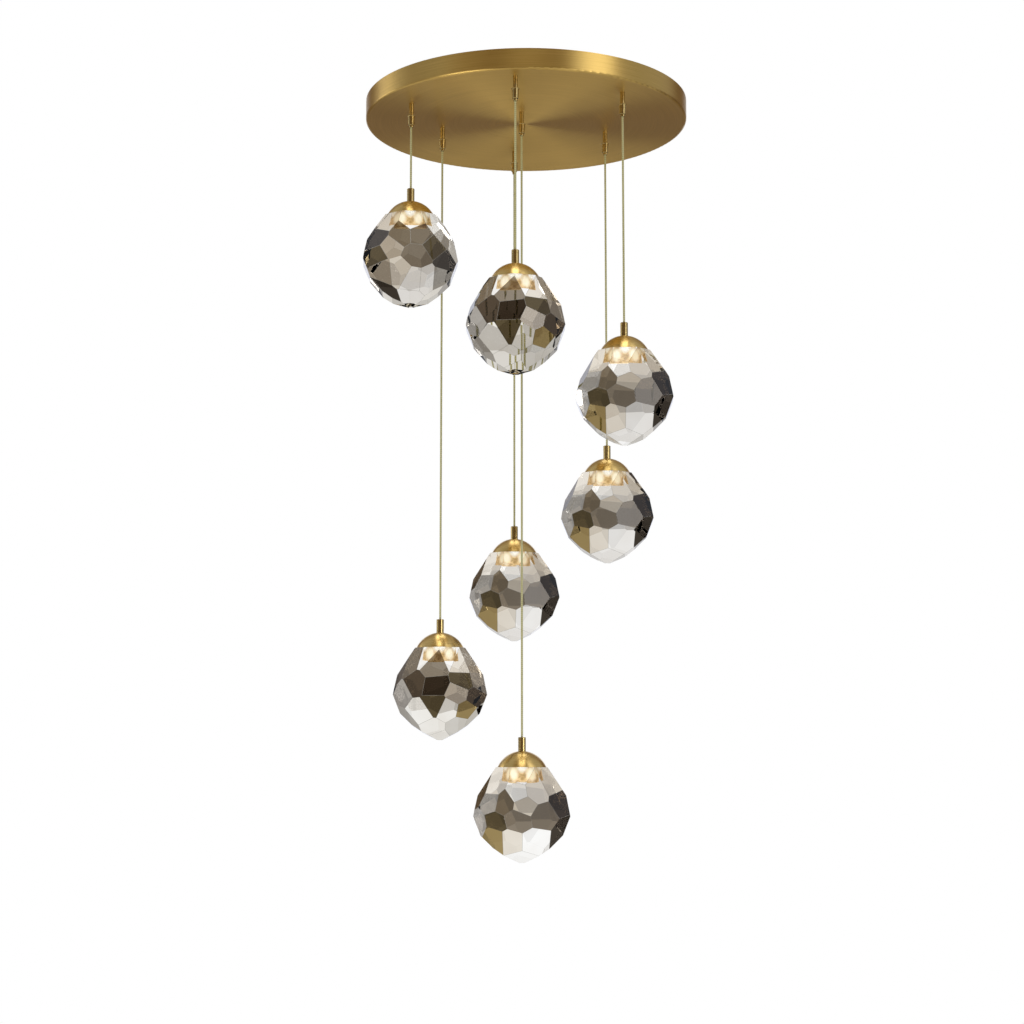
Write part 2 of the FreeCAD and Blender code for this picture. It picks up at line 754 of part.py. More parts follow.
def make_barrel(number):
    ring_foot = "barrel_length - ring_height"
    cap_foot = "barrel_length - barrel_cap"
    barrel = turned("grip_barrel_%d" % number, [
        (NOSE_HOLE, "0"),
        ("barrel_foot_radius - edge_break", "0"),
        ("barrel_foot_radius", "edge_break"),
        ("barrel_radius", ring_foot),
        ("ring_radius - edge_break", ring_foot),
        ("ring_radius", ring_foot + " + edge_break"),
        ("ring_radius", "barrel_length - edge_break"),
        ("ring_radius - edge_break", "barrel_length"),
        (NECK_HOLE, "barrel_length"),
        (NECK_HOLE, cap_foot),
        (FOOT_ROOM, cap_foot),
        (FOOT_ROOM, "nose_room"),
        (FLANGE_ROOM, "nose_room"),
        (FLANGE_ROOM, "barrel_lip"),
        (NOSE_HOLE, "barrel_lip")])
    return at_drop(barrel, number, BARREL_FOOT)


def make_nose(number):
    seat = "nose_drop + barrel_lip"
    nose = turned("grip_nose_%d" % number, [
        (LEAD_BORE + " + nose_flare", "0"),
        ("nose_tip_radius", "0"),
        ("nose_radius", "nose_taper"),
        ("nose_radius", seat),
        ("nose_flange_radius", seat),
        ("nose_flange_radius", seat + " + nose_flange"),
        (LEAD_BORE, seat + " + nose_flange"),
        (LEAD_BORE, "sway_point")])
    return at_drop(nose, number, NOSE_TIP)


def make_cable(number):
    """The free cable, from the pivot in the grip's mouth down to the board."""
    length = "sway_point + drop_%d_hang + stem_length + dome_height" % number
    cable = turned("cable_%d" % number, [
        ("0", "0"),
        ("cable_radius", "0"),
        ("cable_radius", length, "arc"),
        ("0", length + " + cable_radius")])
    return at_drop(cable, number, drop_level(number))


def make_stem(number):
    shoulder = "stem_thread_length + dome_wall"
    top = shoulder + " + stem_length"
    stem = turned("stem_%d" % number, [
        (CABLE_BORE, "0"),
        ("stem_thread_radius - edge_break", "0"),
        ("stem_thread_radius", "edge_break"),
        ("stem_thread_radius", shoulder),
        ("stem_radius", shoulder),
        ("stem_radius", top + " - edge_break"),
        ("stem_radius - edge_break", top),
        (CABLE_BORE, top)])
    foot = drop_level(number) + " - dome_height + dome_wall + stem_thread_length"
    return at_drop(stem, number, foot)


def make_dome(number):
    dome = turned("dome_%d" % number, [
        ("dome_radius - dome_wall", "0"),
        ("dome_radius", "0", "arc"),
        ("dome_seat_radius", "dome_height"),
        (STEM_HOLE, "dome_height"),
        (STEM_HOLE, "dome_height - dome_wall"),
        ("dome_seat_radius", "dome_height - dome_wall", "arc")])
    return at_drop(dome, number, drop_level(number))


def make_led_unit(number):
    """Holder that the stem screws into, with the board and the lens under it."""
    top = "dome_height - dome_wall"
    thread_foot = top + " - stem_thread_length - thread_relief"
    level = drop_level(number)
    holder = turned("holder_%d" % number, [
        (CABLE_BORE, "0"),
        ("holder_radius", "0"),
        ("holder_radius", "holder_thickness"),
        ("boss_radius", "holder_thickness"),
        ("boss_radius", top),
        (STEM_HOLE, top),
        (STEM_HOLE, thread_foot),
        (CABLE_BORE, thread_foot)])
    at_drop(holder, number, level)
    board = rod("board_%d" % number, "board_radius", "board_thickness")
    at_drop(board, number, level + " + board_thickness")
    lens = turned("lens_%d" % number, [
        ("0", "0", "arc"),
        ("lens_radius", "lens_crown"),
        ("lens_radius", "lens_crown + lens_edge"),
        ("0", "lens_crown + lens_edge")])
    at_drop(lens, number, level + " + board_thickness + lens_crown + lens_edge")
    return group("led_unit_%d" % number, [holder, board, lens])


def crystal_profile():
    """Half the smooth outline that the facets touch: x is the reach, y the depth."""
    depth = value_of("crystal_depth")
    levels = [0.0] + [depth * value_of(name + "_level")
                      for name in ("shoulder", "waist", "heel", "toe")] + [depth]
    reaches = [value_of(name + "_reach")
               for name in ("rim", "shoulder", "waist", "heel", "toe", "tip")]
    curve = Part.BSplineCurve()
    curve.interpolate(Points=[Vector(*point, 0) for point in zip(reaches, levels)],
                      Parameters=levels)
    return curve


def cut_flat(faces, touch, facing):
    """The faces, as lists of corners, of a convex block that is cut flat at a touch point."""
    kept = []
    rim = []
    for corners in faces:
        heights = [facing.dot(corner - touch) for corner in corners]
        rest = []
        for number, (corner, height) in enumerate(zip(corners, heights)):
            following = corners[number - len(corners) + 1]
            next_height = heights[number - len(corners) + 1]
            if height <= 0:
                rest.append(corner)
            if height * next_height < 0:
                inner, outer = (corner, following) if height < 0 else (following, corner)
                low, high = min(height, next_height), max(height, next_height)
                rest.append(inner + (outer - inner) * (low / (low - high)))
                rim.append(rest[-1])
        if len(rest) > 2:
            kept.append(rest)
    if not rim:
        raise RuntimeError("a facet of the crystal cuts nothing")
    middle = sum(rim, Vector()) * (1 / len(rim))
    along = (rim[0] - middle).normalize()
    across = facing.cross(along)
    around = {}
    for corner in rim:
        turn = math.atan2((corner - middle).dot(across), (corner - middle).dot(along))
        around[round(turn, 6)] = corner
    kept.append([around[turn] for turn in sorted(around)])
    return kept


def crystal_shape(front, back):
    """A rock whose facets touch the outline, balanced on its axis, with a pocket in its top."""
    depth = value_of("crystal_depth")
    profile = crystal_profile()
    facets = [(bearing, level) for bearing, level in front]
    facets += [(bearing + 180, level) for bearing, level in back]
    facets += [(bearing, level) for bearing in (90, 270) for level in SIDE_LEVELS]
    block = Part.makeBox(2 * depth, 2 * depth, depth, Vector(-depth, -depth, -depth))
    faces = [[corner.Point for corner in face.OuterWire.OrderedVertexes] for face in block.Faces]
    for bearing, level in facets:
        touch = profile.value(depth * level)
        slope = profile.tangent(depth * level)[0]
        around = Rotation(UP, bearing - 90)
        faces = cut_flat(faces, around.multVec(Vector(touch.x, 0, -touch.y)),
                         around.multVec(Vector(slope.y, 0, slope.x)))
    shell = Part.makeShell([Part.Face(Part.makePolygon(corners + corners[:1]))
                            for corners in faces])
    shell.sewShape()
    rock = Part.makeSolid(shell)
    middle = rock.CenterOfMass
    rock.translate(Vector(-middle.x, -middle.y, 0))
    pocket = Part.makeCylinder(value_of("pocket_radius"), value_of("pocket_depth"),
                               Vector(0, 0, -value_of("pocket_depth")))
    return rock.cut(pocket).Solids[0]


def make_crystal(number, shape):
    crystal = doc.addObject("Part::Feature", "crystal_%d" % number)
    crystal.Shape = shape
    crystal.Placement = Placement(Vector(), Rotation(UP, value_of("drop_%d_turn" % number)))
    return at_drop(crystal, number, drop_level(number))


def check_and_write(parts):
    """Stop at the first object that failed, and write every sub-part to its own file."""
    doc.recompute()
    for item in doc.Objects:
        if "Invalid" in item.State or "Error" in item.State:
            raise RuntimeError(item.Label + " failed")
    for item in parts:
        if item.Shape.isNull() or not item.Shape.isValid():
            raise RuntimeError(item.Label + " has no valid shape")
    os.makedirs("parts", exist_ok=True)
    for item in parts:
        item.Shape.exportStep("parts/%s.step" % item.Label)
        print(item.Label, len(item.Shape.Solids), "solids, %.1f cm3" % (item.Shape.Volume / 1000))


parts = [make_canopy(), make_bracket(), make_set_screws(), make_stud_nuts(), make_driver(),
         make_block(), make_block_screws(), make_driver_lead(), make_drop_leads(),
         group("grip_necks", [make_neck(number) for number in DROPS]),
         group("grip_nuts", [make_neck_nut(number) for number in DROPS])]
rocks = {name: crystal_shape(*halves) for name, halves in ROCKS.items()}
for number in DROPS:
    parts += [make_barrel(number), make_nose(number), make_cable(number), make_stem(number),
              make_dome(number), make_led_unit(number), make_crystal(number, rocks[DROP_ROCKS[number]])]
check_and_write(parts)
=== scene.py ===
"""Looks of the cluster pendant: a brass canopy with seven lit crystals on thin cables."""

import json
import math

import bmesh
import bpy
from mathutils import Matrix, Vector


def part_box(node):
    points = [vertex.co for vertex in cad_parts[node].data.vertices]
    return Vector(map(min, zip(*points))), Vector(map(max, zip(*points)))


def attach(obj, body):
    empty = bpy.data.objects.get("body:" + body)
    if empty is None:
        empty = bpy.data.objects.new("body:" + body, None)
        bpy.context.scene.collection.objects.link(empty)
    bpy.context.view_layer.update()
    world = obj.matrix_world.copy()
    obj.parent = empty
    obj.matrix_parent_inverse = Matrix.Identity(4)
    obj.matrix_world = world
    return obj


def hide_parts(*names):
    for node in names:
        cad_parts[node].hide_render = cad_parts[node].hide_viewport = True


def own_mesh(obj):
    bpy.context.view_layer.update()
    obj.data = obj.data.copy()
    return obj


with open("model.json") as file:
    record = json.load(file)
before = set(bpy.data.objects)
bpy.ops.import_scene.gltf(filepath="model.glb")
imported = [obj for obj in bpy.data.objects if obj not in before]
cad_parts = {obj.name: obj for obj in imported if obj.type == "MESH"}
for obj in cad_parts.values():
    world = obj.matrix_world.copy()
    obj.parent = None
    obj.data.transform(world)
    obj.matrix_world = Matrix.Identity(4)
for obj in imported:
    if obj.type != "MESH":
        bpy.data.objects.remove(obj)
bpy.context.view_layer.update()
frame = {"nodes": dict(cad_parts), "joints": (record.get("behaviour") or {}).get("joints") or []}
nodes = frame["nodes"]

DROPS = range(1, 8)

# metres, as in the part's source
CABLE_RADIUS = 0.00125
CABLE_END_GAP = 0.00005
BOARD_DROP = 0.0016
HOLDER_RADIUS = 0.0255
HOLDER_THICKNESS = 0.003
BOSS_RADIUS = 0.005
DOME_INSIDE = 0.0177
BOARD_RADIUS = 0.013
LENS_RADIUS = 0.0115
LENS_EDGE = 0.0008
LENS_CROWN = 0.0035
STEM_SEAT = 0.00305
STEM_SEAT_DEPTH = 0.0105
DRIVER_EAR = 0.012

# sizes that the scene adds, in metres
HOLDER_EDGE = 0.0003
BORE_CLEARANCE = 0.0001
BOARD_GAP = 0.00002
CABLE_ROW = 0.02

# the camera that fits the canopy's ellipse in the photograph
CAMERA_PLACE = (-0.01768, -2.4796, -0.8478)
CAMERA_PITCH = 0.1334
FOCAL_PIXELS = 2050.0
FRAME_PIXELS = 1024.0
SENSOR = 36.0

# painted reflection and shade: the tones painted on the crystals' facets
CLEAR = (1.0, 1.0, 1.0)
NEAR_WHITE = (0.96, 0.95, 0.92)
PALE = (0.82, 0.77, 0.69)
LIGHT_TAUPE = (0.66, 0.6, 0.51)
TAUPE = (0.47, 0.41, 0.33)
PALE_GREY = (0.74, 0.73, 0.7)
GREY = (0.42, 0.4, 0.37)
BROWN = (0.2, 0.16, 0.11)
GREY_BROWN = (0.27, 0.23, 0.18)
DARK_OLIVE = (0.11, 0.085, 0.045)
DARK_BROWN = (0.085, 0.06, 0.035)
CHARCOAL = (0.06, 0.05, 0.04)
NEAR_BLACK = (0.035, 0.024, 0.015)
AMBER = (0.36, 0.27, 0.12)
# painted shade along the crystals' bevelled edges, in place of light seen through edge-on facets
EDGE_PAINTED_SHADE = (0.34, 0.33, 0.31)
BASE_EDGE_PAINTED_SHADE = (0.4, 0.4, 0.37)

# each half of a rock: a facet's bearing in degrees, its level as a share of the depth, its tone of
# painted reflection and shade
KITE_FACE = (
    (-4, 0.26, NEAR_WHITE), (18, 0.23, PALE), (3, 0.40, LIGHT_TAUPE), (0, 0.06, CLEAR),
    (-41, 0.17, PALE), (49, 0.15, LIGHT_TAUPE), (-72, 0.28, DARK_BROWN),
    (54, 0.37, NEAR_BLACK), (-42, 0.37, GREY), (-21, 0.38, BROWN), (27, 0.50, BROWN),
    (-5, 0.53, GREY_BROWN), (-34, 0.56, DARK_OLIVE), (-62, 0.56, GREY), (20, 0.77, CLEAR),
    (-17, 0.77, PALE), (-41, 0.72, AMBER), (63, 0.65, CHARCOAL), (0, 0.97, CLEAR),
    (-90, 0.88, PALE_GREY), (90, 0.88, NEAR_WHITE))
BLADE_FACE = (
    (-10, 0.22, GREY_BROWN), (32, 0.19, PALE), (56, 0.20, GREY_BROWN), (-8, 0.43, NEAR_BLACK),
    (-32, 0.41, DARK_BROWN), (-74, 0.27, CHARCOAL), (-53, 0.51, GREY), (24, 0.52, TAUPE),
    (47, 0.54, DARK_BROWN), (-28, 0.70, NEAR_WHITE), (11, 0.69, NEAR_WHITE), (-8, 0.64, DARK_OLIVE),
    (38, 0.68, AMBER), (34, 0.84, PALE_GREY), (-12, 0.87, NEAR_WHITE), (-69, 0.77, GREY),
    (71, 0.75, PALE_GREY), (0, 0.97, NEAR_WHITE), (-49, 0.14, BROWN), (21, 0.05, CLEAR),
    (32, 0.37, DARK_OLIVE), (-25, 0.05, CLEAR), (56, 0.36, GREY_BROWN))
SHADOW_FACE = (
    (-47, 0.31, CHARCOAL), (-42, 0.13, LIGHT_TAUPE), (-12, 0.32, BROWN), (11, 0.31, BROWN),
    (3, 0.12, CLEAR), (42, 0.14, PALE_GREY), (50, 0.29, GREY), (29, 0.45, DARK_OLIVE),
    (-26, 0.45, TAUPE), (-44, 0.52, DARK_OLIVE), (-18, 0.71, PALE), (-40, 0.68, TAUPE),
    (9, 0.54, GREY_BROWN), (29, 0.77, CLEAR), (4, 0.79, CLEAR), (48, 0.58, CHARCOAL),
    (48, 0.72, GREY), (67, 0.40, PALE_GREY), (0, 0.95, CLEAR), (-62, 0.86, CHARCOAL),
    (78, 0.88, NEAR_WHITE))
SIDE_FACETS = ((0.15, GREY), (0.41, GREY_BROWN), (0.61, GREY), (0.80, GREY), (0.95, PALE_GREY))
ROCKS = {"kite": (KITE_FACE, BLADE_FACE), "shadow": (SHADOW_FACE, KITE_FACE)}
DROP_ROCKS = {1: "shadow", 2: "kite", 3: "kite", 4: "kite", 5: "kite", 6: "kite", 7: "kite"}
DROP_TURNS = {1: 3, 2: 180, 3: -3, 4: -2.5, 5: 1, 6: 182, 7: -1}
POCKET_REACH = 0.0175
POCKET_DEPTH = 0.0225
EDGE_BEVEL = 0.0003
BASE_BEVEL = 0.0011
BASE_FACING = -0.42
FLAT_FACING = 0.999
TOP_BAND = 0.004
RIM_BAND = 0.001
LEAST_CORNER = math.radians(2.0)
SAME_PLANE = math.radians(0.5)
SAME_POINT = 1e-6
GLOW_OVALS = 5
PAD_COUNT = 16
PAD_RADIUS = 0.00045
PAD_HEIGHT = 0.0003
RIB_COUNT = 5
RIB_PITCH = 0.0022
RIB_WIDTH = 0.001
RIB_RISE = 0.0008
RIB_INSET = 0.004
RIB_SHARE = 0.7

# how fast each finish's pattern runs, in turns or noise cells to the metre
GROOVE_SPREAD = 14.0
GROOVE_FINENESS = 2600.0
LATHE_FINENESS = (40.0, 40.0, 5200.0)
CABLE_TWIST = 2600.0

# the pocket's glow: radii where its floor turns to wall, and the ovals' sizes
POCKET_FLOOR_EDGE = (0.0145, 0.0165)
OVAL_HALF_HEIGHT = 0.0095
OVAL_LEVEL = -0.0115
OVAL_HALF_WIDTH = 0.30
PAD_HALF_WIDTH = 0.34
FLOOR_GLOW = (0.95, 0.80, 0.52)
OVAL_GLOW = (0.95, 0.86, 0.64)
TOP_GLOW = (1.0, 0.97, 0.86)
# gold patches on the pocket's wall: a painted reflection of the brass above
GOLD_REFLECTION_PATCHES = ((0.35, (0.40, 0.25, 0.09)), (0.65, (0.72, 0.52, 0.26)))

# softboxes that metal shows: bearings in radians, heights as sines, softness, strength
STUDIO_PANELS = (
    ((0.62, 1.12), (-0.75, 0.95), 0.12, 1.45),
    ((1.22, 2.2), (-0.75, 0.95), 0.12, 0.5),
    ((-2.30, -1.62), (-0.75, 0.95), 0.10, 0.55),
    ((-1.55, -0.95), (0.0, 0.95), 0.12, 0.42),
    ((2.75, 3.3), (-0.1, 0.45), 0.08, 0.95),
    ((-3.3, -2.75), (-0.1, 0.45), 0.08, 0.95))
STRIP_REACH = 0.24
STRIP_FOOT = 0.76
STRIP_CORE = 0.1
STRIP_RISE = 0.12
STRIP_LIGHT = (3.6, 3.6, 3.6)
PANEL_TINT = (1.0, 1.03, 1.15)

# the room that metal shows, from straight down to straight up
ROOM_TONES = ((0.0, (0.22, 0.17, 0.11)), (0.35, (0.20, 0.15, 0.10)),
              (0.50, (0.18, 0.12, 0.065)), (0.70, (0.20, 0.14, 0.08)),
              (1.0, (0.40, 0.34, 0.26)))
# the room that glass shows, in waves
GLASS_TONES = ((0.0, (0.72, 0.70, 0.67)), (0.35, (0.96, 0.96, 0.95)), (1.0, (1.0, 1.0, 1.0)))
GLASS_WAVES = (3.0, 5.0)
DULL_GREY = (0.75, 0.75, 0.75)

# name, place, the point it faces, side and power of each lamp
LAMPS = (
    ("lamp_left", (-2.8, 1.1, 0.0), (0.0, 0.0, -0.3), 1.0, 7.0),
    ("lamp_right", (2.4, -2.0, -0.5), (0.0, 0.0, -0.3), 1.0, 14.0),
    ("lamp_low", (-1.5, -1.3, -1.8), (0.0, 0.0, -0.2), 1.2, 16.0))
FLOOR_RADIUS = 4.0
FLOOR_LEVEL = -2.6
FLOOR_TONE = (0.86, 0.86, 0.86, 1.0)


# node helpers

def new_material(name):
    """An empty node material and its tree."""
    material = bpy.data.materials.new(name)
    material.use_nodes = True
    material.node_tree.nodes.clear()
    return material, material.node_tree


def math_node(tree, operation, first, second=None, third=None, clamp=False):
    """A Math node fed with numbers or sockets; returns its output."""
    made = tree.nodes.new("ShaderNodeMath")
    made.operation = operation
    made.use_clamp = clamp
    for number, value in enumerate((first, second, third)):
        if value is None:
            continue
        if isinstance(value, (int, float)):
            made.inputs[number].default_value = value
        else:
            tree.links.new(value, made.inputs[number])
    return made.outputs[0]


def vector_node(tree, operation, first, second=None):
    """A Vector Math node fed with vectors or sockets; returns its vector output."""
    made = tree.nodes.new("ShaderNodeVectorMath")
    made.operation = operation
    for number, value in enumerate((first, second)):
        if value is None:
            continue
        if isinstance(value, (tuple, list)):
            made.inputs[number].default_value = value
        else:
            tree.links.new(value, made.inputs[number])
    return made.outputs[0]


def ramp(tree, fac, stops):
    """A colour ramp through (position, colour) stops; returns its colour."""
    made = tree.nodes.new("ShaderNodeValToRGB")
    band = made.color_ramp
    while len(band.elements) < len(stops):
        band.elements.new(0.5)
    for element, (position, color) in zip(band.elements, stops):
        element.position = position
        element.color = (*color, 1.0)
    tree.links.new(fac, made.inputs["Fac"])
    return made.outputs["Color"]


def mix_color(tree, factor, first, second, blend="MIX"):
    """A colour Mix node; returns its colour."""
    made = tree.nodes.new("ShaderNodeMix")
    made.data_type = "RGBA"
    made.blend_type = blend
    for number, value in ((0, factor), (6, first), (7, second)):
        feed(tree, value, made.inputs[number])
    return made.outputs[2]


def object_point(tree):
    return tree.nodes.new("ShaderNodeTexCoord").outputs["Object"]


def noise(tree, vector, scale, detail=3.0, roughness=0.5):
    made = tree.nodes.new("ShaderNodeTexNoise")
    for name, value in (("Scale", scale), ("Detail", detail), ("Roughness", roughness)):
        feed(tree, value, made.inputs[name])
    tree.links.new(vector, made.inputs["Vector"])
    return made.outputs["Fac"]


def feed(tree, value, socket):
    """Put a number, a colour, a vector or another node's output into a socket."""
    if isinstance(value, (int, float)):
        socket.default_value = value
    elif isinstance(value, tuple):
        colored = len(socket.default_value) == 4 and len(value) == 3
        socket.default_value = (*value, 1.0) if colored else value
    else:
        tree.links.new(value, socket)


def new_group(name, kind, inputs, outputs):
    """An empty node group; inputs and outputs are (name, socket kind) pairs."""
    group = bpy.data.node_groups.new(name, kind)
    for names, way in ((inputs, "INPUT"), (outputs, "OUTPUT")):
        for label, socket in names:
            group.interface.new_socket(name=label, in_out=way, socket_type=socket)
    entry = group.nodes.new("NodeGroupInput")
    leave = group.nodes.new("NodeGroupOutput")
    return group, entry.outputs, leave.inputs


def place_group(tree, group, **values):
    """The group in a material, its inputs set by name; returns its outputs."""
    made = tree.nodes.new("ShaderNodeGroup")
    made.node_tree = group
    for name, value in values.items():
        feed(tree, value, made.inputs[name.replace("_", " ")])
    return made.outputs


def smooth_step(tree, value, low, high):
    """0 below low, 1 above high, and a smooth rise between."""
    made = tree.nodes.new("ShaderNodeMapRange")
    made.interpolation_type = "SMOOTHSTEP"
    made.inputs["From Min"].default_value = low
    made.inputs["From Max"].default_value = high
    tree.links.new(value, made.inputs["Value"])
    return made.outputs["Result"]


def surface(tree, shader):
    out = tree.nodes.new("ShaderNodeOutputMaterial")
    tree.links.new(shader, out.inputs["Surface"])


def principled(tree, **settings):
    """A Principled BSDF, with plain values and linked sockets by input name."""
    shader = tree.nodes.new("ShaderNodeBsdfPrincipled")
    for name, value in settings.items():
        feed(tree, value, shader.inputs[name.replace("_", " ")])
    surface(tree, shader.outputs["BSDF"])
    return shader


# effects that several materials share

def grain_effect():
    """Grain: noise between two colours, and a roughness that rises with it."""
    color, number, vector = "NodeSocketColor", "NodeSocketFloat", "NodeSocketVector"
    group, given, leave = new_group("grain", "ShaderNodeTree", [
        ("Place", vector), ("Fineness", number), ("Detail", number), ("Dark", color),
        ("Light", color), ("Smoothest", number), ("Roughening", number)],
        [("Color", color), ("Grain", number), ("Roughness", number)])
    grain = noise(group, given["Place"], given["Fineness"], given["Detail"])
    split = smooth_step(group, grain, 0.3, 0.7)
    tone = mix_color(group, split, given["Dark"], given["Light"])
    rough = math_node(group, "MULTIPLY_ADD", grain, given["Roughening"], given["Smoothest"])
    for name, value in (("Color", tone), ("Grain", grain), ("Roughness", rough)):
        group.links.new(value, leave[name])
    return group


def painted_facet_effect():
    """Painted reflection and shade: the tone painted on a crystal's facet as glass passes it, on
    the way in and on the way out.
    """
    color, number = "NodeSocketColor", "NodeSocketFloat"
    group, given, leave = new_group("facet_painted_light", "ShaderNodeTree", [
        ("Smoke", color), ("Leaving Share", number)], [("Entering", color), ("Leaving", color)])
    tone = group.nodes.new("ShaderNodeAttribute")
    tone.attribute_name = "facet_painted_tone"
    entering = mix_color(group, 1.0, tone.outputs["Color"], given["Smoke"], "MULTIPLY")
    # glass passes the root of its colour
    squared = mix_color(group, 1.0, entering, entering, "MULTIPLY")
    leaving = mix_color(group, given["Leaving Share"], (1.0, 1.0, 1.0), tone.outputs["Color"])
    group.links.new(squared, leave["Entering"])
    group.links.new(leaving, leave["Leaving"])
    return group


grain_group = grain_effect()
painted_facet_group = painted_facet_effect()


# materials

def across_grooves(tree, around):
    """The direction in the surface that lies across grooves turned about a vertical axis."""
    normal = tree.nodes.new("ShaderNodeNewGeometry").outputs["Normal"]
    return vector_node(tree, "NORMALIZE", vector_node(tree, "CROSS_PRODUCT", normal, around))


def brushed_canopy():
    """Brass brushed in circles about the canopy's middle."""
    material, tree = new_material("brushed_canopy_brass")
    point = object_point(tree)
    split = tree.nodes.new("ShaderNodeSeparateXYZ")
    tree.links.new(point, split.inputs[0])
    x, y, z = split.outputs
    radius = math_node(tree, "SQRT", math_node(tree, "ADD", math_node(tree, "MULTIPLY", x, x),
                                               math_node(tree, "MULTIPLY", y, y)))
    join = tree.nodes.new("ShaderNodeCombineXYZ")
    tree.links.new(math_node(tree, "MULTIPLY", x, GROOVE_SPREAD), join.inputs[0])
    tree.links.new(math_node(tree, "MULTIPLY", y, GROOVE_SPREAD), join.inputs[1])
    across = math_node(tree, "ADD", radius, z)
    tree.links.new(math_node(tree, "MULTIPLY", across, GROOVE_FINENESS), join.inputs[2])
    grooves = place_group(tree, grain_group, Place=join.outputs[0], Fineness=1.0, Detail=4.0,
                          Dark=(0.56, 0.37, 0.1), Light=(0.67, 0.455, 0.14), Smoothest=0.31,
                          Roughening=0.14)
    cloud = place_group(tree, grain_group, Place=point, Fineness=6.0, Detail=2.0,
                        Dark=(0.9, 0.89, 0.87), Light=(1.0, 1.0, 1.0))
    tone = mix_color(tree, 1.0, grooves["Color"], cloud["Color"], "MULTIPLY")
    around = tree.nodes.new("ShaderNodeCombineXYZ")
    tree.links.new(math_node(tree, "MULTIPLY", y, -1.0), around.inputs[0])
    tree.links.new(x, around.inputs[1])
    principled(tree, Base_Color=tone, Metallic=1.0, Roughness=grooves["Roughness"],
               Anisotropic=0.85,
               Tangent=across_grooves(tree, around.outputs[0]))
    return material


def turned_brass(name, dark, light, rough, anisotropic):
    """Satin brass turned on a lathe: fine rings about the vertical axis."""
    material, tree = new_material(name)
    place = vector_node(tree, "MULTIPLY", object_point(tree), LATHE_FINENESS)
    rings = place_group(tree, grain_group, Place=place, Fineness=1.0, Detail=2.0, Dark=dark,
                        Light=light, Smoothest=rough, Roughening=0.08)
    normal = tree.nodes.new("ShaderNodeNewGeometry").outputs["Normal"]
    around = vector_node(tree, "CROSS_PRODUCT", (0.0, 0.0, 1.0), normal)
    principled(tree, Base_Color=rings["Color"], Metallic=1.0, Roughness=rings["Roughness"],
               Anisotropic=anisotropic, Tangent=across_grooves(tree, around))
    return material


def crystal_glass(name, ior, leaving_share):
    """Clear glass in which each facet shows a painted tone of reflection and shade, more where
    light enters it.
    """
    material, tree = new_material(name)
    smoke = place_group(tree, grain_group, Place=object_point(tree), Fineness=30.0, Detail=2.0,
                        Dark=(0.96, 0.95, 0.94), Light=(1.0, 1.0, 1.0))
    tones = place_group(tree, painted_facet_group, Smoke=smoke["Color"], Leaving_Share=leaving_share)
    geometry = tree.nodes.new("ShaderNodeNewGeometry")
    color = mix_color(tree, geometry.outputs["Backfacing"], tones["Entering"], tones["Leaving"])
    principled(tree, Base_Color=color, Metallic=0.0, Roughness=0.0, IOR=ior,
               Transmission_Weight=1.0)
    return material


def oval_mask(tree, phase, z, half_width, level, half_height):
    """Soft ovals round the pocket's wall, phase counting turns between them from -0.5 to 0.5."""
    along = math_node(tree, "DIVIDE", phase, half_width)
    up = math_node(tree, "DIVIDE", math_node(tree, "SUBTRACT", z, level), half_height)
    away = math_node(tree, "SQRT", math_node(tree, "ADD", math_node(tree, "MULTIPLY", along, along),
                                             math_node(tree, "MULTIPLY", up, up)))
    return smooth_step(tree, away, 1.25, 0.45)


def pocket_painted_glow():
    """The pocket's frosted wall and floor with painted light: a glowing floor, bright pads at the
    top and pale ovals as painted glow of the lens, and gold patches as a painted reflection of the
    brass above.
    """
    material, tree = new_material("pocket_painted_glow")
    place = tree.nodes.new("ShaderNodeAttribute")
    place.attribute_name = "pocket_place"
    split = tree.nodes.new("ShaderNodeSeparateXYZ")
    tree.links.new(place.outputs["Vector"], split.inputs[0])
    x, y, z = split.outputs
    bearing = math_node(tree, "ARCTAN2", x, math_node(tree, "MULTIPLY", y, -1.0))
    radius = math_node(tree, "SQRT", math_node(tree, "ADD", math_node(tree, "MULTIPLY", x, x),
                                               math_node(tree, "MULTIPLY", y, y)))
    turns = math_node(tree, "MULTIPLY", bearing, GLOW_OVALS / (2 * math.pi))
    at_ovals = math_node(tree, "SUBTRACT", math_node(tree, "FRACT", turns), 0.5)
    at_pads = math_node(tree, "SUBTRACT", math_node(tree, "FRACT", math_node(
        tree, "ADD", turns, 0.5)), 0.5)
    wall = smooth_step(tree, radius, *POCKET_FLOOR_EDGE)
    gold_reflection = ramp(tree, noise(tree, place.outputs["Vector"], 220.0, 2.0), GOLD_REFLECTION_PATCHES)
    glow = mix_color(tree, wall, FLOOR_GLOW, gold_reflection)
    ovals = oval_mask(tree, at_ovals, z, OVAL_HALF_WIDTH, OVAL_LEVEL, OVAL_HALF_HEIGHT)
    glow = mix_color(tree, math_node(tree, "MULTIPLY", ovals, wall), glow, OVAL_GLOW)
    pads = oval_mask(tree, at_pads, z, PAD_HALF_WIDTH, 0.0, OVAL_HALF_HEIGHT)
    glow = mix_color(tree, math_node(tree, "MULTIPLY", pads, wall), glow, TOP_GLOW)
    # the wall's painted light is emitted, though the wall is no lamp
    principled(tree, Base_Color=glow, Roughness=0.6, Emission_Color=glow, Emission_Strength=0.5)
    return material


def cable_sheath():
    """Clear green-gold sheath over a twisted gold core."""
    material, tree = new_material("cable_sheath")
    point = object_point(tree)
    split = tree.nodes.new("ShaderNodeSeparateXYZ")
    tree.links.new(point, split.inputs[0])
    turns = math_node(tree, "SINE", math_node(tree, "MULTIPLY", split.outputs[2], CABLE_TWIST))
    tone = ramp(tree, math_node(tree, "ADD", math_node(tree, "MULTIPLY", turns, 0.25), 0.5),
                [(0.2, (0.30, 0.28, 0.12)), (0.8, (0.50, 0.46, 0.22))])
    principled(tree, Base_Color=tone, Roughness=0.35, Coat_Weight=0.3, Coat_Roughness=0.12)
    return material


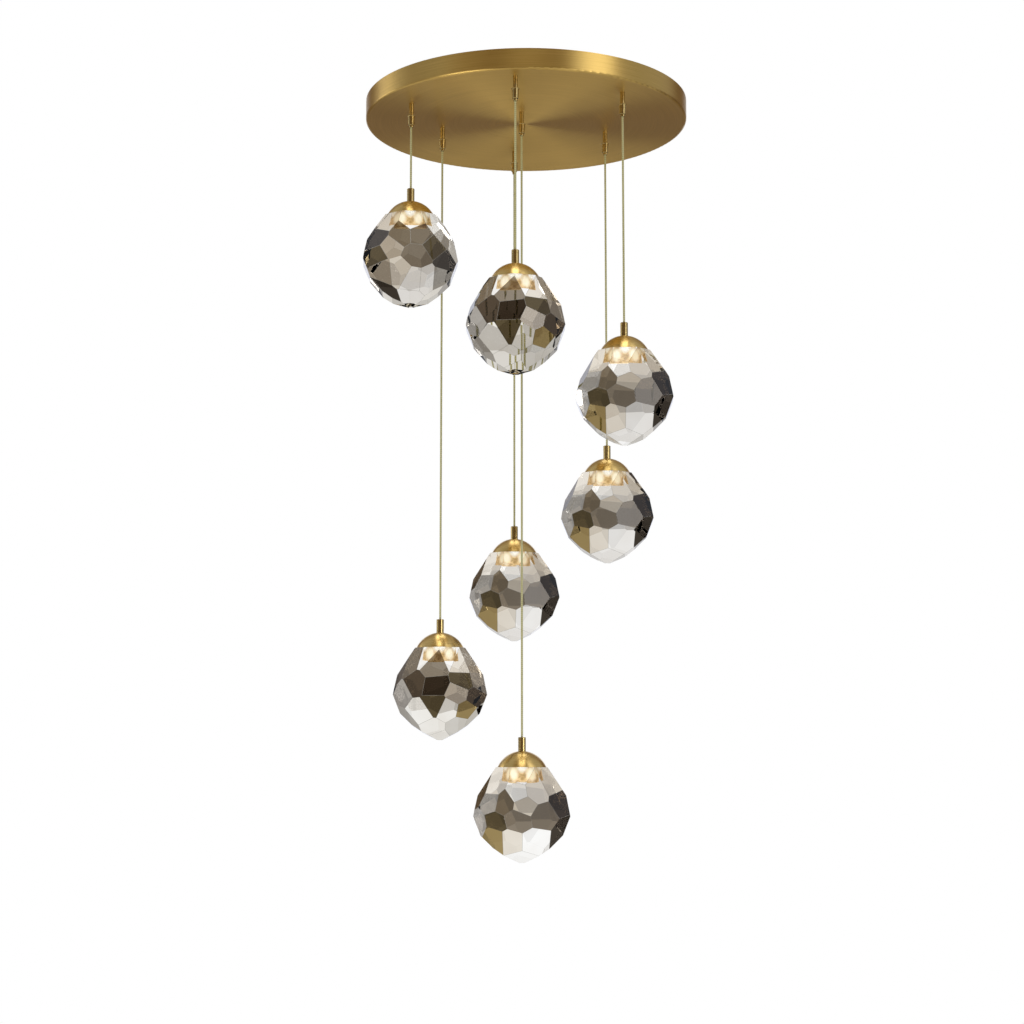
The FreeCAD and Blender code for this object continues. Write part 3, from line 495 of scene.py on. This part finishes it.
def plated_steel(name, color, rough):
    """Zinc-plated steel with faint mottling."""
    material, tree = new_material(name)
    mottle = place_group(tree, grain_group, Place=object_point(tree), Fineness=420.0, Detail=2.0,
                         Dark=tuple(0.93 * part for part in color), Light=color,
                         Smoothest=rough, Roughening=0.1)
    principled(tree, Base_Color=mottle["Color"], Metallic=1.0, Roughness=mottle["Roughness"])
    return material


def moulded_plastic(name, color):
    """Matt plastic with a fine moulded grain."""
    material, tree = new_material(name)
    point = object_point(tree)
    grain = place_group(tree, grain_group, Place=point, Fineness=1800.0, Detail=3.0)
    bump = tree.nodes.new("ShaderNodeBump")
    bump.inputs["Strength"].default_value = 0.2
    bump.inputs["Distance"].default_value = 0.0001
    tree.links.new(grain["Grain"], bump.inputs["Height"])
    cloud = place_group(tree, grain_group, Place=point, Fineness=40.0, Detail=3.0,
                        Dark=tuple(0.93 * part for part in color), Light=color)
    principled(tree, Base_Color=cloud["Color"], Roughness=0.5, Normal=bump.outputs["Normal"])
    return material


def lit_lens():
    """Frosted lens over a warm diode."""
    material, tree = new_material("lit_lens")
    glow = place_group(tree, grain_group, Place=object_point(tree), Fineness=300.0, Detail=3.0,
                       Dark=(1.0, 0.80, 0.50), Light=(1.0, 0.86, 0.62))
    principled(tree, Base_Color=(0.9, 0.85, 0.75), Roughness=0.4, Emission_Color=glow["Color"],
               Emission_Strength=2.2)
    return material


# pieces

def mesh_piece(name, build, materials):
    """An object at the origin whose mesh is made by a function of a bmesh."""
    mesh = bpy.data.meshes.new(name)
    work = bmesh.new()
    build(work)
    bmesh.ops.recalc_face_normals(work, faces=work.faces)
    work.to_mesh(mesh)
    work.free()
    piece = bpy.data.objects.new(name, mesh)
    bpy.context.scene.collection.objects.link(piece)
    for material in materials:
        mesh.materials.append(material)
    return piece


def lathe(work, profile, middle, steps=64, material=0, smooth=True):
    """Turn (radius, height) points about the vertical through the middle, closed at the axis."""
    rings = []
    for radius, height in profile:
        if radius < 1e-7:
            rings.append([work.verts.new((middle[0], middle[1], middle[2] + height))])
            continue
        ring = []
        for step in range(steps):
            turn = 2 * math.pi * step / steps
            ring.append(work.verts.new((middle[0] + radius * math.cos(turn),
                                        middle[1] + radius * math.sin(turn),
                                        middle[2] + height)))
        rings.append(ring)
    for lower, upper in zip(rings, rings[1:]):
        for step in range(steps):
            after = (step + 1) % steps
            if len(lower) == 1 and len(upper) == 1:
                continue
            if len(lower) == 1:
                corners = [lower[0], upper[after], upper[step]]
            elif len(upper) == 1:
                corners = [lower[step], lower[after], upper[0]]
            else:
                corners = [lower[step], lower[after], upper[after], upper[step]]
            face = work.faces.new(corners)
            face.material_index = material
            face.smooth = smooth


def bend(radius, height, rise, steps=10):
    """Points of a dome's profile, from its edge to its top on the axis."""
    points = []
    for step in range(steps + 1):
        turn = math.pi / 2 * step / steps
        points.append((radius * math.cos(turn), height + rise * math.sin(turn)))
    points[-1] = (0.0, height + rise)
    return points


def geometry_node(tree, kind, **settings):
    """A Geometry Nodes node, its sockets fed by name."""
    made = tree.nodes.new(kind)
    for name, value in settings.items():
        feed(tree, value, made.inputs[name.replace("_", " ")])
    return made


def pad_ring_tree():
    """Small flat pads in a ring: as many as Count, on a circle round Middle."""
    number, vector = "NodeSocketFloat", "NodeSocketVector"
    group, given, leave = new_group("pad_ring", "GeometryNodeTree", [
        ("Count", "NodeSocketInt"), ("Ring Radius", number), ("Pad Radius", number),
        ("Pad Height", number), ("Middle", vector), ("Finish", "NodeSocketMaterial")],
        [("Geometry", "NodeSocketGeometry")])
    ring = geometry_node(group, "GeometryNodeMeshCircle", Vertices=given["Count"],
                         Radius=given["Ring Radius"])
    pad = geometry_node(group, "GeometryNodeMeshCylinder", Vertices=12, Side_Segments=1,
                        Fill_Segments=1, Radius=given["Pad Radius"], Depth=given["Pad Height"])
    pads = geometry_node(group, "GeometryNodeInstanceOnPoints", Points=ring.outputs["Mesh"],
                         Instance=pad.outputs["Mesh"])
    moved = geometry_node(group, "GeometryNodeTransform", Geometry=pads.outputs["Instances"],
                          Translation=given["Middle"])
    real = geometry_node(group, "GeometryNodeRealizeInstances", Geometry=moved.outputs[0])
    done = geometry_node(group, "GeometryNodeSetMaterial", Geometry=real.outputs[0],
                         Material=given["Finish"])
    group.links.new(done.outputs[0], leave["Geometry"])
    return group


def rib_row_tree():
    """A row of straight ribs: as many as Count, a pitch apart, the first centred on First."""
    vector = "NodeSocketVector"
    group, given, leave = new_group("rib_row", "GeometryNodeTree", [
        ("Count", "NodeSocketInt"), ("Pitch", vector), ("First", vector), ("Rib Size", vector),
        ("Finish", "NodeSocketMaterial")], [("Geometry", "NodeSocketGeometry")])
    row = geometry_node(group, "GeometryNodeMeshLine", Count=given["Count"],
                        Start_Location=given["First"], Offset=given["Pitch"])
    rib = geometry_node(group, "GeometryNodeMeshCube", Size=given["Rib Size"])
    ribs = geometry_node(group, "GeometryNodeInstanceOnPoints", Points=row.outputs["Mesh"],
                         Instance=rib.outputs["Mesh"])
    real = geometry_node(group, "GeometryNodeRealizeInstances", Geometry=ribs.outputs[0])
    done = geometry_node(group, "GeometryNodeSetMaterial", Geometry=real.outputs[0],
                         Material=given["Finish"])
    group.links.new(done.outputs[0], leave["Geometry"])
    return group


def grown_piece(name, group, finish, **sizes):
    """The plain mesh that a Geometry Nodes tree makes from its sizes."""
    seed = bpy.data.objects.new(name + "_seed", bpy.data.meshes.new(name + "_seed"))
    bpy.context.scene.collection.objects.link(seed)
    modifier = seed.modifiers.new("grow", "NODES")
    modifier.node_group = group
    sockets = {item.name: item.identifier for item in group.interface.items_tree
               if item.item_type == "SOCKET" and item.in_out == "INPUT"}
    modifier[sockets["Finish"]] = finish
    for label, value in sizes.items():
        modifier[sockets[label.replace("_", " ")]] = value
    evaluated = seed.evaluated_get(bpy.context.evaluated_depsgraph_get())
    mesh = bpy.data.meshes.new_from_object(evaluated)
    seed.modifiers.remove(modifier)
    bpy.data.objects.remove(seed)
    mesh.name = name
    piece = bpy.data.objects.new(name, mesh)
    bpy.context.scene.collection.objects.link(piece)
    return piece


def joint(name):
    return [entry for entry in frame["joints"] if entry["name"] == name][0]


def make_cable(number, sheath):
    """The free cable, from the pivot in the grip's mouth to the board in the drop."""
    low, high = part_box("cable_%d" % number)
    x = (low.x + high.x) / 2
    y = (low.y + high.y) / 2
    pivot = joint("sway_%d" % number)["pos_m"][2]
    foot = low.z
    length = pivot - foot
    profile = [(0.0, foot)]
    rows = max(4, round(length / CABLE_ROW))
    for row in range(rows + 1):
        profile.append((CABLE_RADIUS, foot + length * row / rows))
    profile += bend(CABLE_RADIUS, pivot, CABLE_RADIUS - CABLE_END_GAP, 4)[1:]

    def build(work):
        lathe(work, profile, (x, y, 0.0), 16)

    piece = mesh_piece("cable_tube_%d" % number, build, [sheath])
    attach(piece, "line_%d" % number)
    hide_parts("cable_%d" % number)
    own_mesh(piece)


def crystal_top(number):
    """The point of a drop's axis that is level with the top of its crystal."""
    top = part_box("crystal_%d" % number)[1].z
    low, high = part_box("cable_%d" % number)
    return (low.x + high.x) / 2, (low.y + high.y) / 2, top


def make_light(number, holder_metal, board_white, lens_glow):
    """Holder, board and lens of a drop."""
    middle = crystal_top(number)
    edge = HOLDER_EDGE
    bore = CABLE_RADIUS + BORE_CLEARANCE
    seat_foot = DOME_INSIDE - STEM_SEAT_DEPTH
    holder = [
        (bore, 0.0), (HOLDER_RADIUS - edge, 0.0), (HOLDER_RADIUS, edge),
        (HOLDER_RADIUS, HOLDER_THICKNESS - edge), (HOLDER_RADIUS - edge, HOLDER_THICKNESS),
        (BOSS_RADIUS, HOLDER_THICKNESS), (BOSS_RADIUS, DOME_INSIDE), (STEM_SEAT, DOME_INSIDE),
        (STEM_SEAT, seat_foot), (bore, seat_foot), (bore, 0.0)]
    board = [(0.0, -BOARD_DROP), (BOARD_RADIUS, -BOARD_DROP), (BOARD_RADIUS, -BOARD_GAP),
             (0.0, -BOARD_GAP)]
    lens_top = -BOARD_DROP - BOARD_GAP
    lens = [(0.0, lens_top), (LENS_RADIUS, lens_top), (LENS_RADIUS, lens_top - LENS_EDGE)]
    lens += [(radius, 2 * (lens_top - LENS_EDGE) - height)
             for radius, height in bend(LENS_RADIUS, lens_top - LENS_EDGE, LENS_CROWN)[1:]]

    def build(work):
        lathe(work, holder, middle, 64, 0)
        lathe(work, board, middle, 48, 1)
        lathe(work, lens, middle, 48, 2)

    piece = mesh_piece("light_%d" % number, build, [holder_metal, board_white, lens_glow])
    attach(piece, "drop_%d" % number)
    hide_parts("led_unit_%d" % number)


def make_pads(number, tree, finish):
    """Solder pads on the board, round the lens."""
    x, y, top = crystal_top(number)
    piece = grown_piece("board_pads_%d" % number, tree, finish, Count=PAD_COUNT,
                        Ring_Radius=(LENS_RADIUS + BOARD_RADIUS) / 2, Pad_Radius=PAD_RADIUS,
                        Pad_Height=PAD_HEIGHT, Middle=(x, y, top - BOARD_DROP))
    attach(piece, "drop_%d" % number)


def make_driver_ribs(tree, finish):
    """Ribs moulded across both ends of the driver's top."""
    low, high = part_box("led_driver")
    reach = (high.x - low.x) / 2 - DRIVER_EAR - RIB_INSET
    middle = (low.x + high.x) / 2
    for name, start in (("left", middle - reach),
                        ("right", middle + reach - (RIB_COUNT - 1) * RIB_PITCH)):
        piece = grown_piece("driver_ribs_" + name, tree, finish, Count=RIB_COUNT,
                            Pitch=(RIB_PITCH, 0.0, 0.0),
                            First=(start, (low.y + high.y) / 2, high.z),
                            Rib_Size=(RIB_WIDTH, (high.y - low.y) * RIB_SHARE, RIB_RISE))
        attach(piece, "root")


def nearest_tone(facets, bearing, level):
    """The tone of the facet that is cut at a bearing, nearest to a level."""
    def distance(facet):
        away = abs((facet[0] - bearing + 180.0) % 360.0 - 180.0)
        return 10.0 * max(0.0, away - 1.0) + abs(facet[1] - level)
    return min(facets, key=distance)[2]


def make_crystal(number, glass, pocket_glow, base_glass):
    """The rock with painted reflection and shade on its facets, and narrow polished bevels along
    its edges painted with a grey edge shade.
    """
    low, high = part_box("crystal_%d" % number)
    cable_low, cable_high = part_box("cable_%d" % number)
    axis = (cable_low + cable_high) / 2
    depth = high.z - low.z
    work = bmesh.new()
    work.from_mesh(nodes["crystal_%d" % number].data)
    bmesh.ops.remove_doubles(work, verts=work.verts, dist=SAME_POINT)
    bmesh.ops.dissolve_limit(work, angle_limit=SAME_PLANE, verts=work.verts, edges=work.edges)
    front, back = ROCKS[DROP_ROCKS[number]]
    turned = DROP_TURNS[number]
    facets = [(bearing + turned, level, tone) for bearing, level, tone in front]
    facets += [(bearing + 180 + turned, level, tone) for bearing, level, tone in back]
    facets += [(bearing + turned, level, tone) for bearing in (90, 270)
               for level, tone in SIDE_FACETS]
    # each facet gets its painted tone of reflection and shade from the tables; flat and pocket
    # faces stay clear
    tones = work.loops.layers.float_color.new("facet_painted_tone")
    edges = []
    for face in work.faces:
        face.smooth = False
        place = face.calc_center_median()
        flat = abs(face.normal.z) > FLAT_FACING or place.z > high.z - TOP_BAND
        inside = (place.xy - axis.xy).length < POCKET_REACH and place.z > high.z - POCKET_DEPTH
        tone = CLEAR
        if not flat and not inside:
            bearing = math.degrees(math.atan2(face.normal.x, -face.normal.y))
            tone = nearest_tone(facets, bearing, (high.z - place.z) / depth)
        for loop in face.loops:
            loop[tones] = (*tone, 1.0)
    for edge in work.edges:
        if len(edge.link_faces) == 2 and edge.calc_face_angle() > LEAST_CORNER:
            rim = max((vert.co.xy - axis.xy).length for vert in edge.verts) < POCKET_REACH \
                and min(vert.co.z for vert in edge.verts) > high.z - POCKET_DEPTH - RIM_BAND
            if not rim:
                edges.append(edge)
    base = [edge for edge in edges
            if max(face.normal.z for face in edge.link_faces) < BASE_FACING]
    upper = [edge for edge in edges if edge not in base]
    # the bevels get a grey painted edge shade
    for picked, width, tone in ((base, BASE_BEVEL, BASE_EDGE_PAINTED_SHADE),
                                (upper, EDGE_BEVEL, EDGE_PAINTED_SHADE)):
        alive = [edge for edge in picked if edge.is_valid]
        made = bmesh.ops.bevel(work, geom=alive, offset=width, offset_type="OFFSET", segments=1,
                               profile=0.5, affect="EDGES", clamp_overlap=True)
        for face in made["faces"]:
            for loop in face.loops:
                loop[tones] = (*tone, 1.0)
    pocket_places = work.verts.layers.float_vector.new("pocket_place")
    top = Vector((axis.x, axis.y, high.z))
    for vert in work.verts:
        vert[pocket_places] = vert.co - top
    for face in work.faces:
        place = face.calc_center_median() - top
        if place.z < -0.0005 and place.z > -POCKET_DEPTH and place.xy.length < POCKET_REACH:
            face.material_index = 1
        elif face.normal.z < BASE_FACING:
            face.material_index = 2
    mesh = bpy.data.meshes.new("crystal_cut_%d" % number)
    work.to_mesh(mesh)
    work.free()
    piece = bpy.data.objects.new(mesh.name, mesh)
    bpy.context.scene.collection.objects.link(piece)
    mesh.materials.append(glass)
    mesh.materials.append(pocket_glow)
    mesh.materials.append(base_glass)
    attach(piece, "drop_%d" % number)
    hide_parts("crystal_%d" % number)


def dress(name, material):
    """Give a CAD node its material."""
    mesh = nodes[name].data
    mesh.materials.clear()
    mesh.materials.append(material)


canopy_metal = brushed_canopy()
satin = turned_brass("satin_turned_brass", (0.64, 0.44, 0.14), (0.76, 0.55, 0.21), 0.24, 0.85)
grip_brass = turned_brass("grip_turned_brass", (0.42, 0.31, 0.12), (0.52, 0.39, 0.16), 0.20, 0.6)
holder_gold = turned_brass("holder_gold", (0.68, 0.47, 0.20), (0.86, 0.64, 0.32), 0.25, 0.3)
glass = crystal_glass("crystal_glass", 1.33, 0.7)
base_glass = crystal_glass("crystal_base_glass", 1.03, 0.25)
pocket_glow = pocket_painted_glow()
sheath = cable_sheath()
bracket_steel = plated_steel("bracket_steel", (0.62, 0.63, 0.64), 0.32)
screw_steel = plated_steel("fastener_steel", (0.70, 0.69, 0.66), 0.25)
driver_plastic = moulded_plastic("driver_plastic", (0.86, 0.86, 0.84))
block_plastic = moulded_plastic("block_plastic", (0.82, 0.80, 0.75))
board_white = moulded_plastic("board_white", (0.90, 0.89, 0.86))
glow = lit_lens()

dress("canopy_pan", canopy_metal)
dress("ceiling_bracket", bracket_steel)
dress("set_screws", screw_steel)
dress("stud_nuts", screw_steel)
dress("led_driver", driver_plastic)
dress("terminal_block", block_plastic)
dress("block_screws", screw_steel)
dress("driver_lead", sheath)
dress("drop_leads", sheath)
dress("grip_necks", grip_brass)
dress("grip_nuts", screw_steel)
pad_ring = pad_ring_tree()
make_driver_ribs(rib_row_tree(), driver_plastic)
for number in DROPS:
    make_pads(number, pad_ring, screw_steel)
    dress("grip_barrel_%d" % number, grip_brass)
    dress("grip_nose_%d" % number, grip_brass)
    dress("stem_%d" % number, grip_brass)
    dress("dome_%d" % number, satin)
    make_crystal(number, glass, pocket_glow, base_glass)
    make_cable(number, sheath)
    make_light(number, holder_gold, board_white, glow)


# stage, light and camera

def make_floor():
    """A plain pale floor, far below the lamp, as under a ceiling of usual height."""
    material, tree = new_material("floor_pale")
    matt = tree.nodes.new("ShaderNodeBsdfDiffuse")
    matt.inputs["Color"].default_value = FLOOR_TONE
    white = tree.nodes.new("ShaderNodeEmission")
    mix = tree.nodes.new("ShaderNodeMixShader")
    path = tree.nodes.new("ShaderNodeLightPath")
    tree.links.new(path.outputs["Is Transmission Ray"], mix.inputs[0])
    tree.links.new(matt.outputs[0], mix.inputs[1])
    tree.links.new(white.outputs[0], mix.inputs[2])
    surface(tree, mix.outputs[0])

    def build(work):
        bmesh.ops.create_circle(work, cap_ends=True, segments=96, radius=FLOOR_RADIUS)
        bmesh.ops.translate(work, verts=work.verts, vec=(0.0, 0.0, FLOOR_LEVEL))

    mesh_piece("floor", build, [material])


def soft_panel(tree, azimuth, height, sides, rows, soft):
    """A softbox as a mask: between two bearings and two heights, with soft edges."""
    left = smooth_step(tree, azimuth, sides[0] - soft, sides[0] + soft)
    right = smooth_step(tree, azimuth, sides[1] + soft, sides[1] - soft)
    foot = smooth_step(tree, height, rows[0] - soft, rows[0] + soft)
    head = smooth_step(tree, height, rows[1] + soft, rows[1] - soft)
    return math_node(tree, "MULTIPLY", math_node(tree, "MULTIPLY", left, right),
                     math_node(tree, "MULTIPLY", foot, head))


def make_world():
    """White to the camera; to metal, a dim studio with softboxes; to glass, a bright one."""
    world = bpy.data.worlds.new("studio")
    bpy.context.scene.world = world
    world.use_nodes = True
    tree = world.node_tree
    tree.nodes.clear()
    direction = tree.nodes.new("ShaderNodeTexCoord").outputs["Generated"]
    split = tree.nodes.new("ShaderNodeSeparateXYZ")
    tree.links.new(direction, split.inputs[0])
    # bearing from the front, positive to the right, and height as the sine of the elevation
    azimuth = math_node(tree, "ARCTAN2", split.outputs[0],
                        math_node(tree, "MULTIPLY", split.outputs[1], -1.0))
    height = split.outputs[2]
    lit = ramp(tree, math_node(tree, "MULTIPLY_ADD", height, 0.5, 0.5), ROOM_TONES)
    for sides, heights, soft, strength in STUDIO_PANELS:
        mask = soft_panel(tree, azimuth, height, sides, heights, soft)
        lit = mix_color(tree, mask, lit, tuple(strength * part for part in PANEL_TINT))
    across = math_node(tree, "ABSOLUTE", split.outputs[0])
    strip = math_node(tree, "MULTIPLY", smooth_step(tree, across, STRIP_REACH, STRIP_CORE),
                      smooth_step(tree, height, STRIP_FOOT, STRIP_FOOT + STRIP_RISE))
    lit = mix_color(tree, strip, lit, STRIP_LIGHT)
    path = tree.nodes.new("ShaderNodeLightPath")
    around, upward = GLASS_WAVES
    wave = math_node(tree, "SINE", math_node(
        tree, "ADD", math_node(tree, "MULTIPLY", azimuth, around),
        math_node(tree, "MULTIPLY", height, upward)))
    through = ramp(tree, math_node(tree, "MULTIPLY_ADD", wave, 0.5, 0.5), GLASS_TONES)
    through = mix_color(tree, smooth_step(tree, height, 0.0, -0.25), through, CLEAR)
    shown = mix_color(tree, path.outputs["Is Glossy Ray"], DULL_GREY, lit)
    shown = mix_color(tree, path.outputs["Is Transmission Ray"], shown, through)
    shown = mix_color(tree, path.outputs["Is Camera Ray"], shown, CLEAR)
    background = tree.nodes.new("ShaderNodeBackground")
    tree.links.new(shown, background.inputs["Color"])
    background.inputs["Strength"].default_value = 1.0
    out = tree.nodes.new("ShaderNodeOutputWorld")
    tree.links.new(background.outputs[0], out.inputs["Surface"])


def make_lamp(name, place, target, size, power):
    """A soft square lamp turned towards a point."""
    data = bpy.data.lights.new(name, "AREA")
    data.shape = "SQUARE"
    data.size = size
    data.energy = power
    lamp = bpy.data.objects.new(name, data)
    bpy.context.scene.collection.objects.link(lamp)
    lamp.location = place
    aim = Vector(target) - Vector(place)
    lamp.rotation_euler = aim.to_track_quat("-Z", "Y").to_euler()


def make_camera():
    data = bpy.data.cameras.new("camera")
    data.sensor_width = SENSOR
    data.lens = FOCAL_PIXELS / FRAME_PIXELS * SENSOR
    camera = bpy.data.objects.new("camera", data)
    bpy.context.scene.collection.objects.link(camera)
    camera.location = CAMERA_PLACE
    camera.rotation_euler = (math.pi / 2 + CAMERA_PITCH, 0.0, 0.0)
    bpy.context.scene.camera = camera


make_floor()
make_world()
for lamp in LAMPS:
    make_lamp(*lamp)
make_camera()
bpy.context.scene.view_settings.view_transform = "Standard"
